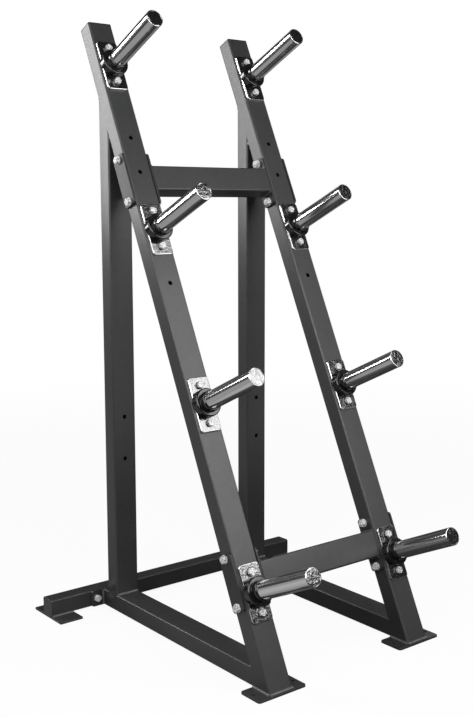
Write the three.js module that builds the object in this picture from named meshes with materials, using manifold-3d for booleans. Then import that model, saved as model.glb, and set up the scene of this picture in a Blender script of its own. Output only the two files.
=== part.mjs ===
// Plate tree: two leaning side frames of rectangular steel tube, bolted together by two cross members
// and a rear crossbar, with a row of chromed posts on each side that carry weight plates.
// Lengths are in millimetres. +X is to the right and +Y to the rear of the rack, and +Z is up.
// The origin is on the floor, in the middle of the rack's footprint.
import * as THREE from "three";
import { mergeVertices } from "three/addons/utils/BufferGeometryUtils.js";
import Module from "manifold-3d";

const wasm = await Module();
wasm.setup();

// Rectangular tube of the frame, 3 by 2 inches, with rolled corners
const TUBE_WIDTH = 76.2;
const TUBE_DEPTH = 50.8;
const TUBE_WALL = 3;
const TUBE_CORNER = 5;

// Side frames
const FRAME_SPACING = 508;
const LEAN = THREE.MathUtils.degToRad(25);
const UPRIGHT_SETBACK = 714;
const RAIL_OVERRUN = 27;
const RAIL_HEIGHT = 50.8;

// Foot plates and the holes for floor anchors
const FOOT_LENGTH = 158.8;
const FOOT_WIDTH = 76.2;
const FOOT_THICKNESS = 6;
const FOOT_CORNER = 8;
const FOOT_OVERHANG = 8;
const ANCHOR_HOLE = 10;
const ANCHOR_EDGE = 14;

// Rear crossbar of square tube, and the plates that join the base rails to it
const CROSSBAR_LENGTH = 937;
const CROSSBAR_SIZE = 50.8;
const CROSSBAR_END_PLATE = 3;
const REAR_FLANGE_LENGTH = 158.8;
const REAR_FLANGE_THICKNESS = 6.35;
const REAR_BOLT_SPACING = 120.6;

// Cross members between the side frames, measured up the slope from the floor end
const UPPER_MEMBER_HEIGHT = 1430;
const LOWER_MEMBER_HEIGHT = 291.5;
const MEMBER_HEIGHT = 76.2;
const MEMBER_PLATE_LENGTH = 152.4;
const MEMBER_PLATE_THICKNESS = 6.35;
const MEMBER_BOLT_SPACING = 127;

// Posts, measured up the slope and out from the face of the leaning tube, which ends above the top post
const POSTS_PER_SIDE = 4;
const POST_PITCH = 508;
const LOWEST_POST = 254;
const TOP_MARGIN = 137;
const POST_DIAMETER = 50;
const POST_WALL = 3;
const POST_END_WALL = 6;
const POST_CHAMFER = 1.8;
const POST_REACH = 246.5;

// Chromed plates that carry the posts
const POST_PLATE_LENGTH = 152.4;
const POST_PLATE_WIDTH = 66.7;
const POST_PLATE_THICKNESS = 6.35;
const POST_BOLT_SPACING = 105.7;

// Stepped rubber collars at the roots of the posts
const COLLAR_DIAMETER = 79;
const COLLAR_THICKNESS = 21.5;
const COLLAR_EDGE = 4;
const HUB_DIAMETER = 58;
const HUB_HEIGHT = 17;
const HUB_EDGE = 2.5;

// Spare holes in the leaning tubes and in the rear uprights
const SPARE_PAIR_HEIGHT = 1499;
const SPARE_HOLE_HEIGHT = 1112;
const UPRIGHT_PAIR_HEIGHT = 539.5;

// Plugs in the tops of the leaning tubes
const PLUG_HEAD = 3.5;
const PLUG_SKIRT = 18;
const PLUG_WALL = 2.5;

// Hexagon bolts, washers and nuts
const BOLT_DIAMETER = 12;
const BOLT_HOLE = 13;
const BOLT_HEAD_WIDTH = 19;
const BOLT_HEAD_HEIGHT = 7.5;
const BOLT_TAIL = 16;
const BOLT_TIP = 4;
const NUT_HEIGHT = 10;
const WASHER_DIAMETER = 24;
const WASHER_THICKNESS = 2.4;

// Rounded corners of all flat plates but the feet
const PLATE_CORNER = 9;

// Gap that parts of the rack keep where they seat on each other, and the overrun of every cut
const SEAT = 0.3;
const OVERRUN = 40;

// Steps round a post or collar, a hole, a shank, a washer and a hexagon, and in each rounded edge
const ROUND_STEPS = 24;
const HOLE_STEPS = 10;
const BOLT_STEPS = 8;
const WASHER_STEPS = 14;
const HEX_STEPS = 6;
const PLATE_CORNER_STEPS = 2;
const EDGE_STEPS = 1;

// Lengths, heights and places that follow from the sizes above
const LEANING_LENGTH = LOWEST_POST + (POSTS_PER_SIDE - 1) * POST_PITCH + TOP_MARGIN;
const FOOT_TOP = FOOT_THICKNESS + SEAT;
const UPRIGHT_FOOT = FOOT_TOP + RAIL_HEIGHT + SEAT;
const RAIL_END = UPRIGHT_SETBACK + TUBE_DEPTH + RAIL_OVERRUN;
const CROSSBAR_FRONT = RAIL_END + REAR_FLANGE_THICKNESS + 2 * SEAT;
const MEMBER_REACH = FRAME_SPACING - TUBE_WIDTH - 2 * (MEMBER_PLATE_THICKNESS + 2 * SEAT);
const MEMBER_HEIGHTS = { upper: UPPER_MEMBER_HEIGHT, lower: LOWER_MEMBER_HEIGHT };

// Each piece has a material of its own, in one of these finishes.
const paint = () => new THREE.MeshStandardMaterial({ color: 0x2b2b2d, roughness: 0.42, metalness: 0.25 });
const chrome = () => new THREE.MeshStandardMaterial({ color: 0xc9cacd, roughness: 0.12, metalness: 1 });
const rubber = () => new THREE.MeshStandardMaterial({ color: 0x161617, roughness: 0.6, metalness: 0 });
const plastic = () => new THREE.MeshStandardMaterial({ color: 0x1b1b1c, roughness: 0.5, metalness: 0 });
const zinc = () => new THREE.MeshStandardMaterial({ color: 0xd4d5d8, roughness: 0.25, metalness: 0.9 });

// Turns a closed geometry into a solid that can be joined and cut.
function solidOf(geometry) {
  const bare = geometry.index ? geometry.toNonIndexed() : geometry.clone();
  bare.deleteAttribute("normal");
  bare.deleteAttribute("uv");
  const merged = mergeVertices(bare);
  return new wasm.Manifold(
    new wasm.Mesh({
      numProp: 3,
      vertProperties: merged.attributes.position.array,
      triVerts: new Uint32Array(merged.index.array),
    }),
  );
}

// Turns a solid back into a geometry with flat faces.
function geometryOf(solid) {
  const { vertProperties, triVerts } = solid.getMesh();
  const geometry = new THREE.BufferGeometry();
  geometry.setAttribute("position", new THREE.BufferAttribute(vertProperties, 3));
  geometry.setIndex(new THREE.BufferAttribute(triVerts, 1));
  const flat = geometry.toNonIndexed();
  flat.computeVertexNormals();
  return flat;
}

const cut = (geometry, tools) =>
  geometryOf(tools.reduce((solid, tool) => solid.subtract(solidOf(tool)), solidOf(geometry)));

const join = (geometries) =>
  geometryOf(geometries.map(solidOf).reduce((whole, solid) => whole.add(solid)));

function mesh(name, geometry, material) {
  const piece = new THREE.Mesh(geometry, material);
  piece.name = name;
  return piece;
}

// Traces a rectangle with round corners, centred on the origin.
function roundedRectangle(path, width, height, corner) {
  const x = width / 2 - corner;
  const y = height / 2 - corner;
  const quarter = Math.PI / 2;
  path.absarc(x, y, corner, 0, quarter);
  path.absarc(-x, y, corner, quarter, Math.PI);
  path.absarc(-x, -y, corner, Math.PI, -quarter);
  path.absarc(x, -y, corner, -quarter, 0);
  path.closePath();
  return path;
}

const extruded = (shape, depth, curveSegments) =>
  new THREE.ExtrudeGeometry(shape, { depth, bevelEnabled: false, curveSegments });

// Hollow tube that stands up from the origin, with its front face on y = 0.
function tube(width, depth, length) {
  const outline = roundedRectangle(new THREE.Shape(), width, depth, TUBE_CORNER);
  const bore = [width - 2 * TUBE_WALL, depth - 2 * TUBE_WALL, TUBE_CORNER - TUBE_WALL];
  outline.holes.push(roundedRectangle(new THREE.Path(), ...bore));
  return extruded(outline, length, EDGE_STEPS).translate(0, depth / 2, 0);
}

// Flat plate in the X-Z plane, whose back lies on y = 0 and whose face looks to the front.
function plate(width, height, thickness, corner = PLATE_CORNER) {
  const outline = roundedRectangle(new THREE.Shape(), width, height, corner);
  return extruded(outline, thickness, PLATE_CORNER_STEPS).rotateX(Math.PI / 2);
}

// Round or six-sided bar about the Y axis, from y = near towards the front.
const bar = (diameter, near, length, steps) =>
  new THREE.CylinderGeometry(diameter / 2, diameter / 2, length, steps).translate(0, -near - length / 2, 0);

const hexagon = (near, height) => bar(BOLT_HEAD_WIDTH / Math.cos(Math.PI / HEX_STEPS), near, height, HEX_STEPS);

// Hole about the Y axis, centred on the origin, that runs right through a thickness.
const drill = (diameter, thickness) => bar(diameter, -OVERRUN - thickness / 2, 2 * OVERRUN + thickness, HOLE_STEPS);

// Hole through the front wall of a tube alone.
const frontBore = (z) => bar(BOLT_HOLE, -TUBE_WALL - TUBE_CORNER, OVERRUN, HOLE_STEPS).translate(0, 0, z);

// Hole across a leaning tube, through both of its side walls.
const sideBore = (z) => drill(BOLT_HOLE, TUBE_WIDTH).rotateZ(Math.PI / 2).translate(0, TUBE_DEPTH / 2, z);

// Bolt from the front: its washer lies on y = 0 and its shank runs to the rear.
const bolt = (shank) =>
  join([
    bar(BOLT_DIAMETER, -shank, shank + WASHER_THICKNESS, BOLT_STEPS),
    bar(WASHER_DIAMETER, 0, WASHER_THICKNESS, WASHER_STEPS),
    hexagon(WASHER_THICKNESS, BOLT_HEAD_HEIGHT),
  ]);

// Bolt through a stack of parts, with a washer and a nut on its far side.
function throughBolt(grip) {
  const nutSide = -grip - WASHER_THICKNESS;
  return join([
    bolt(grip + WASHER_THICKNESS + NUT_HEIGHT + BOLT_TIP),
    bar(WASHER_DIAMETER, nutSide, WASHER_THICKNESS, WASHER_STEPS),
    hexagon(nutSide - NUT_HEIGHT, NUT_HEIGHT),
  ]);
}

// Two copies of a geometry, spaced evenly about z = height.
const pair = (make, spacing, height = 0) => [make(height - spacing / 2), make(height + spacing / 2)];

// Everything in front of the back of the leaning tube, in a side frame's own place.
function aheadOfSlope() {
  const height = 2 * LEANING_LENGTH;
  const depth = UPRIGHT_SETBACK + 2 * TUBE_DEPTH;
  return new THREE.BoxGeometry(TUBE_WIDTH + OVERRUN, depth, height)
    .translate(0, TUBE_DEPTH + SEAT - depth / 2, height / 2 - OVERRUN)
    .rotateX(-LEAN)
    .translate(0, 0, FOOT_TOP);
}

const postHeights = () => Array.from({ length: POSTS_PER_SIDE }, (_, i) => LOWEST_POST + i * POST_PITCH).reverse();

// Leaning tube of a side frame: square at its top, cut level at its foot, with all its bolt holes.
function leaningTube() {
  const sweep = TUBE_DEPTH * Math.tan(LEAN);
  const length = LEANING_LENGTH + sweep;
  const blank = tube(TUBE_WIDTH, TUBE_DEPTH, length).translate(0, 0, -sweep);
  const floor = new THREE.BoxGeometry(TUBE_WIDTH + OVERRUN, TUBE_DEPTH + LEANING_LENGTH, OVERRUN + TUBE_DEPTH)
    .translate(0, 0, -(OVERRUN + TUBE_DEPTH) / 2)
    .rotateX(LEAN);
  const postBolts = postHeights().flatMap((height) => pair(frontBore, POST_BOLT_SPACING, height));
  const memberBolts = Object.values(MEMBER_HEIGHTS).flatMap((height) => pair(sideBore, MEMBER_BOLT_SPACING, height));
  const spares = [...pair(frontBore, POST_BOLT_SPACING, SPARE_PAIR_HEIGHT), frontBore(SPARE_HOLE_HEIGHT)];
  return cut(blank, [floor, ...postBolts, ...memberBolts, ...spares]);
}

// Rear upright: it stands on the base rail and its top is mitred to the back of the leaning tube.
function rearUpright() {
  const blank = tube(TUBE_WIDTH, TUBE_DEPTH, LEANING_LENGTH).translate(0, UPRIGHT_SETBACK, UPRIGHT_FOOT);
  const spares = pair(frontBore, MEMBER_BOLT_SPACING, UPRIGHT_PAIR_HEIGHT);
  return cut(blank, [aheadOfSlope(), ...spares.map((bore) => bore.translate(0, UPRIGHT_SETBACK, 0))]);
}

// Base rail: it lies flat, mitred to the leaning tube in front and square at the rear.
function baseRail() {
  const blank = tube(TUBE_WIDTH, RAIL_HEIGHT, RAIL_END)
    .rotateX(-Math.PI / 2)
    .translate(0, 0, FOOT_TOP + RAIL_HEIGHT);
  return cut(blank, [aheadOfSlope()]);
}

// Foot plate with an anchor hole near each end, lying on the floor and centred on the origin.
function footPlate() {
  const blank = plate(FOOT_LENGTH, FOOT_WIDTH, FOOT_THICKNESS, FOOT_CORNER).rotateX(-Math.PI / 2);
  const anchor = FOOT_LENGTH / 2 - ANCHOR_EDGE;
  const bore = (x) => drill(ANCHOR_HOLE, FOOT_THICKNESS).rotateX(Math.PI / 2).translate(x, 0, 0);
  return cut(blank, [bore(-anchor), bore(anchor)]);
}

// Flange welded to the rear end of a base rail, with the two bolts that hold it to the crossbar.
function rearFlange() {
  const blank = plate(REAR_FLANGE_LENGTH, RAIL_HEIGHT, REAR_FLANGE_THICKNESS);
  const grip = REAR_FLANGE_THICKNESS + CROSSBAR_SIZE + 2 * SEAT;
  const bolts = [-REAR_BOLT_SPACING / 2, REAR_BOLT_SPACING / 2].map((x) =>
    throughBolt(grip).translate(x, -REAR_FLANGE_THICKNESS, 0),
  );
  return join([blank, ...bolts]);
}

// Plug in the top of a leaning tube: a flat head on a hollow skirt.
function topPlug() {
  const head = roundedRectangle(new THREE.Shape(), TUBE_WIDTH, TUBE_DEPTH, TUBE_CORNER);
  const inset = 2 * (TUBE_WALL + SEAT);
  const size = [TUBE_WIDTH - inset, TUBE_DEPTH - inset, PLUG_WALL];
  const skirt = extruded(roundedRectangle(new THREE.Shape(), ...size), PLUG_SKIRT + PLUG_HEAD, EDGE_STEPS);
  const hollow = size.map((length) => length - 2 * PLUG_WALL).slice(0, 2);
  const core = new THREE.BoxGeometry(...hollow, 2 * PLUG_SKIRT);
  const body = [extruded(head, PLUG_HEAD, EDGE_STEPS).translate(0, 0, PLUG_SKIRT + SEAT), skirt];
  return cut(join(body), [core]).translate(0, TUBE_DEPTH / 2, -PLUG_SKIRT);
}

// Plate under a post, with its two bolts.
function postPlate() {
  const bolts = pair(
    (z) => bolt(POST_PLATE_THICKNESS + TUBE_WALL + BOLT_TAIL).translate(0, -POST_PLATE_THICKNESS, z),
    POST_BOLT_SPACING,
  );
  return join([plate(POST_PLATE_WIDTH, POST_PLATE_LENGTH, POST_PLATE_THICKNESS), ...bolts]);
}

// Revolves a profile of radius and height about the Y axis and turns it to point to the front.
const revolved = (points) => new THREE.LatheGeometry(points, ROUND_STEPS).rotateX(Math.PI);

// Post: a tube with a closed, chamfered end that points to the front.
function post() {
  const radius = POST_DIAMETER / 2;
  const bore = radius - POST_WALL;
  const length = POST_REACH - POST_PLATE_THICKNESS - 2 * SEAT;
  const profile = new THREE.Path();
  profile.moveTo(0, length - POST_END_WALL);
  profile.lineTo(bore, length - POST_END_WALL);
  profile.lineTo(bore, 0);
  profile.lineTo(radius, 0);
  profile.lineTo(radius, length - POST_CHAMFER);
  profile.lineTo(radius - POST_CHAMFER, length);
  profile.lineTo(0, length);
  return revolved(profile.getPoints(EDGE_STEPS));
}

// Collar: a thick disc and a narrower hub in front of it, each with a rounded front edge.
function collar() {
  const bore = POST_DIAMETER / 2 + SEAT;
  const disc = COLLAR_DIAMETER / 2;
  const hub = HUB_DIAMETER / 2;
  const height = COLLAR_THICKNESS + HUB_HEIGHT;
  const profile = new THREE.Path();
  profile.moveTo(bore, 0);
  profile.lineTo(disc, 0);
  profile.absarc(disc - COLLAR_EDGE, COLLAR_THICKNESS - COLLAR_EDGE, COLLAR_EDGE, 0, Math.PI / 2);
  profile.lineTo(hub, COLLAR_THICKNESS);
  profile.absarc(hub - HUB_EDGE, height - HUB_EDGE, HUB_EDGE, 0, Math.PI / 2);
  profile.lineTo(bore, height);
  profile.lineTo(bore, 0);
  return revolved(profile.getPoints(EDGE_STEPS));
}

// One post with its plate and collar, at its height on a leaning tube.
function postStation(side, number, height) {
  const group = new THREE.Group();
  const face = POST_PLATE_THICKNESS + 2 * SEAT;
  group.add(mesh(`post_plate_${side}_${number}`, postPlate().translate(0, -SEAT, 0), chrome()));
  group.add(mesh(`post_${side}_${number}`, post().translate(0, -face, 0), chrome()));
  group.add(mesh(`collar_${side}_${number}`, collar().translate(0, -face, 0), rubber()));
  group.position.z = height;
  return group;
}

// Plate against the side of a leaning tube at a cross member, in the Y-Z plane, and drilled for bolts.
function memberPlate() {
  const blank = plate(TUBE_DEPTH, MEMBER_PLATE_LENGTH, MEMBER_PLATE_THICKNESS);
  const bore = (z) => drill(BOLT_HOLE, MEMBER_PLATE_THICKNESS).translate(0, 0, z);
  return cut(blank, pair(bore, MEMBER_BOLT_SPACING))
    .translate(0, MEMBER_PLATE_THICKNESS / 2, 0)
    .rotateZ(Math.PI / 2)
    .translate(0, TUBE_DEPTH / 2, 0);
}

// Joint of one cross member with a leaning tube: outer plate, inner flange and two through bolts.
function memberJoint(side, inward, level) {
  const group = new THREE.Group();
  const reach = TUBE_WIDTH / 2 + SEAT + MEMBER_PLATE_THICKNESS / 2;
  const outer = mesh(`backing_plate_${level}_${side}`, memberPlate(), paint());
  outer.position.x = -inward * reach;
  const inner = mesh(`member_flange_${level}_${side}`, memberPlate(), paint());
  inner.position.x = inward * reach;
  group.add(outer, inner);
  const grip = TUBE_WIDTH + 2 * (MEMBER_PLATE_THICKNESS + 2 * SEAT);
  for (const [place, z] of Object.entries({ low: -MEMBER_BOLT_SPACING / 2, high: MEMBER_BOLT_SPACING / 2 })) {
    const fastener = mesh(`member_bolt_${level}_${side}_${place}`, throughBolt(grip), zinc());
    fastener.rotation.z = (-inward * Math.PI) / 2;
    fastener.position.set((-inward * grip) / 2, TUBE_DEPTH / 2, z);
    group.add(fastener);
  }
  group.position.z = MEMBER_HEIGHTS[level];
  return group;
}

// Everything that leans: the tube, its plug, its posts and its joints with the cross members.
function leaningAssembly(side, inward) {
  const group = new THREE.Group();
  group.add(mesh(`leaning_upright_${side}`, leaningTube(), paint()));
  group.add(mesh(`top_plug_${side}`, topPlug().translate(0, 0, LEANING_LENGTH), plastic()));
  postHeights().forEach((height, index) => group.add(postStation(side, index + 1, height)));
  for (const level of Object.keys(MEMBER_HEIGHTS)) group.add(memberJoint(side, inward, level));
  group.position.z = FOOT_TOP;
  group.rotation.x = -LEAN;
  return group;
}

// One side frame, centred on x = 0.
function sideFrame(side, inward) {
  const group = new THREE.Group();
  const foot = mesh(`front_foot_plate_${side}`, footPlate(), paint());
  foot.position.y = FOOT_WIDTH / 2 - FOOT_OVERHANG;
  const flange = mesh(`rear_flange_${side}`, rearFlange(), paint());
  flange.position.set(0, RAIL_END + SEAT + REAR_FLANGE_THICKNESS, FOOT_TOP + RAIL_HEIGHT / 2);
  group.add(leaningAssembly(side, inward), foot, flange);
  group.add(mesh(`rear_upright_${side}`, rearUpright(), paint()));
  group.add(mesh(`base_rail_${side}`, baseRail(), paint()));
  group.position.x = (-inward * FRAME_SPACING) / 2;
  return group;
}

// Cross member between the inner flanges, lying across the slope.
function crossMember(level) {
  const tubing = tube(MEMBER_HEIGHT, TUBE_DEPTH, MEMBER_REACH).translate(0, 0, -MEMBER_REACH / 2);
  const piece = mesh(`cross_member_${level}`, tubing.rotateY(Math.PI / 2), paint());
  piece.position.z = MEMBER_HEIGHTS[level];
  return piece;
}

// Rear crossbar with its end plates and feet.
function rearCrossbar() {
  const group = new THREE.Group();
  const length = CROSSBAR_LENGTH - 2 * (CROSSBAR_END_PLATE + SEAT);
  const frames = [-FRAME_SPACING / 2, FRAME_SPACING / 2];
  const bolts = frames.flatMap((x) => [x - REAR_BOLT_SPACING / 2, x + REAR_BOLT_SPACING / 2]);
  const bore = (x) => drill(BOLT_HOLE, CROSSBAR_SIZE).translate(x, CROSSBAR_SIZE / 2, CROSSBAR_SIZE / 2);
  const blank = tube(CROSSBAR_SIZE, CROSSBAR_SIZE, length)
    .translate(0, 0, -length / 2)
    .rotateY(Math.PI / 2)
    .translate(0, 0, CROSSBAR_SIZE / 2);
  group.add(mesh("rear_crossbar", cut(blank, bolts.map(bore)), paint()));
  for (const [side, outward] of Object.entries({ left: -1, right: 1 })) {
    const endPlate = plate(CROSSBAR_SIZE, CROSSBAR_SIZE, CROSSBAR_END_PLATE, TUBE_CORNER).rotateZ(Math.PI / 2);
    const end = mesh(`crossbar_end_plate_${side}`, endPlate, paint());
    const inset = outward > 0 ? CROSSBAR_END_PLATE : 0;
    end.position.set((outward * CROSSBAR_LENGTH) / 2 - inset, CROSSBAR_SIZE / 2, CROSSBAR_SIZE / 2);
    const foot = mesh(`rear_foot_plate_${side}`, footPlate().rotateZ(Math.PI / 2), paint());
    foot.position.set((outward * (CROSSBAR_LENGTH - FOOT_WIDTH)) / 2, CROSSBAR_SIZE / 2, -FOOT_TOP);
    group.add(end, foot);
  }
  group.position.set(0, CROSSBAR_FRONT, FOOT_TOP);
  return group;
}

const members = new THREE.Group();
members.add(...Object.keys(MEMBER_HEIGHTS).map(crossMember));
members.position.z = FOOT_TOP;
members.rotation.x = -LEAN;

const rack = new THREE.Group();
rack.add(sideFrame("left", 1), sideFrame("right", -1), members, rearCrossbar());

// The footprint is centred on the origin.
const extent = new THREE.Box3().setFromObject(rack, true);
rack.position.y = -(extent.min.y + extent.max.y) / 2;

const plateTree = new THREE.Group();
plateTree.add(rack);
export default plateTree;
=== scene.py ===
"""Looks of the plate tree: leaning frames of painted tube, with chromed posts for weight plates.

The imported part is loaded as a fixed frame, and every piece that shows is modelled around it. Lengths
are in metres and angles in degrees unless a name says otherwise. +X is to the right of the rack, +Y
to its rear and +Z up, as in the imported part.
"""

from __future__ import annotations

import logging
import math
from contextlib import contextmanager
from dataclasses import dataclass, field, replace
from enum import Enum
from typing import Callable, Iterable, Iterator, Protocol, Sequence

import bpy
from mathutils import Matrix, Vector

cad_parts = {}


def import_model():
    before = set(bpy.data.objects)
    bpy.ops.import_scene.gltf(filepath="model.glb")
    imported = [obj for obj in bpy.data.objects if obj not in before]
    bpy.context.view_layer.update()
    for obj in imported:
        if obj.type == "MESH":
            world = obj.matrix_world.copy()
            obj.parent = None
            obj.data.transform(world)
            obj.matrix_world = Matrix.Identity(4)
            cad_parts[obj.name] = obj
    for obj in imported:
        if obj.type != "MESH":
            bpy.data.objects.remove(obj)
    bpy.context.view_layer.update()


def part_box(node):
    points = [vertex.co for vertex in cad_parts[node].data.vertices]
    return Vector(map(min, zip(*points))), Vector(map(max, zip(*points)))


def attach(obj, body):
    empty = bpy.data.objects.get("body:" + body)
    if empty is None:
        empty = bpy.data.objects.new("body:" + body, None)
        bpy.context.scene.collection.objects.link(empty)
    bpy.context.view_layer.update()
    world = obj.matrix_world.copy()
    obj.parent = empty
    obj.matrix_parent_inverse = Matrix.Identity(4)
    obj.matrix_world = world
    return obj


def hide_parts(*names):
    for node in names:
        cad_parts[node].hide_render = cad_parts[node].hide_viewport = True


log = logging.getLogger("plate_tree")

MM = 0.001
ROOT = "root"
SMOOTH_ANGLE = math.radians(32)
# Gap between pieces that touch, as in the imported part
SEAT = 0.3 * MM
# How near a point has to lie to a place to be picked there
NEAR = 0.1 * MM
# Cosine above which a normal counts as pointing along an axis
ALONG = 0.99

Triple = tuple[float, float, float]
EdgeTest = Callable[[Vector, Vector], bool]
FaceTest = Callable[[Vector, Vector], bool]


class Side(Enum):
    """Left and right side frame, with the direction that points outwards."""

    LEFT = -1
    RIGHT = 1

    @property
    def word(self) -> str:
        """The side's word in node and piece names."""
        return self.name.lower()


class Axis(Enum):
    """The axis that a round bar is laid along, as the turn that brings it there from Z."""

    X = (0.0, math.pi / 2, 0.0)
    Y = (math.pi / 2, 0.0, 0.0)
    Z = (0.0, 0.0, 0.0)


class Slot(Enum):
    """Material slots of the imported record."""

    PAINT = "frame_paint"
    CHROME = "chrome"
    RUBBER = "collar_rubber"
    PLASTIC = "plug_plastic"
    ZINC = "zinc"


class Workpiece:
    """One mesh on the bench, shaped with the tools of edit mode and finished with modifiers."""

    def __init__(self, obj: bpy.types.Object) -> None:
        """Takes over a mesh object.

        Args:
            obj: the object, whose mesh is in its final scale.
        """
        self.obj = obj

    @classmethod
    def _adopt(cls, name: str) -> Workpiece:
        """Takes over the primitive just added and bakes its place into its mesh.

        Args:
            name: the object's name.

        Returns:
            The new workpiece.
        """
        piece = cls(bpy.context.active_object)
        piece.obj.name = piece.obj.data.name = name
        bpy.ops.object.transform_apply(location=True, rotation=True, scale=True)
        return piece

    @classmethod
    def block(cls, name: str, size: Triple, centre: Triple = (0, 0, 0)) -> Workpiece:
        """Adds a block.

        Args:
            name: the object's name.
            size: its three lengths.
            centre: its middle.

        Returns:
            The new workpiece.
        """
        bpy.ops.object.select_all(action="DESELECT")
        bpy.ops.mesh.primitive_cube_add(size=1, location=centre)
        bpy.context.active_object.scale = size
        return cls._adopt(name)

    @classmethod
    def bar(
        cls,
        name: str,
        radius: float,
        length: float,
        sides: int,
        centre: Triple = (0, 0, 0),
        axis: Axis = Axis.Z,
        top_radius: float | None = None,
    ) -> Workpiece:
        """Adds a round or many-sided bar, which may taper.

        Args:
            name: the object's name.
            radius: its radius at the low end of Z, before it is turned.
            length: its length.
            sides: how many flats go round it.
            centre: its middle.
            axis: the axis it is laid along.
            top_radius: its radius at the other end, if it tapers.

        Returns:
            The new workpiece.
        """
        bpy.ops.object.select_all(action="DESELECT")
        bpy.ops.mesh.primitive_cone_add(
            vertices=sides,
            radius1=radius,
            radius2=radius if top_radius is None else top_radius,
            depth=length,
            location=centre,
            rotation=axis.value,
        )
        return cls._adopt(name)

    def activate(self) -> None:
        """Makes this the one selected and active object."""
        bpy.ops.object.select_all(action="DESELECT")
        self.obj.select_set(True)
        bpy.context.view_layer.objects.active = self.obj

    @contextmanager
    def editing(self) -> Iterator[None]:
        """Opens edit mode on this piece for the length of a with block.

        Returns:
            What the with block needs, without a value.
        """
        self.activate()
        bpy.ops.object.mode_set(mode="EDIT")
        yield
        bpy.ops.object.mode_set(mode="OBJECT")

    def _clear(self, edges: bool) -> bpy.types.Mesh:
        """Deselects the whole mesh.

        Args:
            edges: whether edges are picked next, and not faces.

        Returns:
            The mesh.
        """
        mesh = self.obj.data
        for elements in (mesh.vertices, mesh.edges, mesh.polygons):
            elements.foreach_set("select", [False] * len(elements))
        bpy.context.tool_settings.mesh_select_mode = (False, edges, not edges)
        return mesh

    def pick_edges(self, test: EdgeTest) -> Workpiece:
        """Selects the edges whose two ends pass a test.

        Args:
            test: takes the places of both ends.

        Returns:
            This workpiece.
        """
        mesh = self._clear(edges=True)
        for edge in mesh.edges:
            ends = [mesh.vertices[i] for i in edge.vertices]
            if test(ends[0].co, ends[1].co):
                edge.select = True
                for end in ends:
                    end.select = True
        return self

    def pick_faces(self, test: FaceTest) -> Workpiece:
        """Selects the faces whose centre and normal pass a test.

        Args:
            test: takes a face's centre and its normal.

        Returns:
            This workpiece.
        """
        mesh = self._clear(edges=False)
        for face in mesh.polygons:
            if test(face.center, face.normal):
                face.select = True
        return self

    def bevel(self, width: float, segments: int) -> Workpiece:
        """Rounds the picked edges.

        Args:
            width: how far the rounding reaches from an edge.
            segments: how many steps it has.

        Returns:
            This workpiece.
        """
        with self.editing():
            bpy.ops.mesh.bevel(
                offset=width, offset_type="OFFSET", segments=segments, affect="EDGES"
            )
        return self

    def inset(self, width: float, depth: float = 0) -> Workpiece:
        """Insets the picked faces.

        Args:
            width: how far they shrink.
            depth: how far they rise.

        Returns:
            This workpiece.
        """
        with self.editing():
            bpy.ops.mesh.inset(thickness=width, depth=depth)
        return self

    def extrude(self, *moves: Triple) -> Workpiece:
        """Extrudes the picked faces.

        Args:
            moves: how far they go, once for each extrusion.

        Returns:
            This workpiece.
        """
        with self.editing():
            for move in moves:
                bpy.ops.mesh.extrude_region_move(TRANSFORM_OT_translate={"value": move})
        return self

    def remove_faces(self) -> Workpiece:
        """Deletes the picked faces and leaves the holes open.

        Returns:
            This workpiece.
        """
        with self.editing():
            bpy.ops.mesh.delete(type="FACE")
        return self

    def slice(self, point: Vector, normal: Vector) -> Workpiece:
        """Cuts the piece along a plane and closes the cut.

        Args:
            point: a point of the plane.
            normal: points to the side that stays.

        Returns:
            This workpiece.
        """
        with self.editing():
            bpy.ops.mesh.select_all(action="SELECT")
            bpy.ops.mesh.bisect(plane_co=point, plane_no=normal, use_fill=True, clear_inner=True)
        return self

    def modify(self, kind: str, **settings: object) -> Workpiece:
        """Adds a modifier and applies it at once.

        Args:
            kind: Blender's name for the modifier.
            settings: its properties.

        Returns:
            This workpiece.
        """
        modifier = self.obj.modifiers.new(kind.lower(), kind)
        for name, value in settings.items():
            setattr(modifier, name, value)
        self.activate()
        bpy.ops.object.modifier_apply(modifier=modifier.name)
        return self

    def hollow(self, wall: float) -> Workpiece:
        """Gives an open shell a wall that grows inwards."""
        return self.modify("SOLIDIFY", thickness=wall, offset=-1, use_even_offset=True)

    def combine(self, operation: str, others: Sequence[Workpiece]) -> Workpiece:
        """Joins, cuts or intersects this piece with others, which are used up.

        Args:
            operation: UNION, DIFFERENCE or INTERSECT.
            others: the other pieces, which are taken one after another.

        Returns:
            This workpiece.
        """
        for other in others:
            self.modify("BOOLEAN", operation=operation, solver="EXACT", object=other.obj)
            other.discard()
        return self

    def drill(self, tools: Sequence[Workpiece]) -> Workpiece:
        """Cuts with several tools in one go.

        Args:
            tools: the tools, clear of each other.

        Returns:
            This workpiece.
        """
        tools[0].join(tools[1:])
        return self.combine("DIFFERENCE", tools[:1])

    def join(self, others: Sequence[Workpiece]) -> Workpiece:
        """Takes other meshes into this one as they are.

        Args:
            others: the other pieces, which are used up.

        Returns:
            This workpiece.
        """
        if others:
            self.activate()
            for other in others:
                other.obj.select_set(True)
            bpy.ops.object.join()
        return self

    def discard(self) -> None:
        """Removes the object and its mesh."""
        mesh = self.obj.data
        bpy.data.objects.remove(self.obj)
        bpy.data.meshes.remove(mesh)

    def copy(self, name: str) -> Workpiece:
        """Copies the piece, with a mesh of its own.

        Args:
            name: the copy's name.

        Returns:
            The copy.
        """
        self.activate()
        bpy.ops.object.duplicate(linked=False)
        twin = Workpiece(bpy.context.active_object)
        twin.obj.name = twin.obj.data.name = name
        return twin

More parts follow.
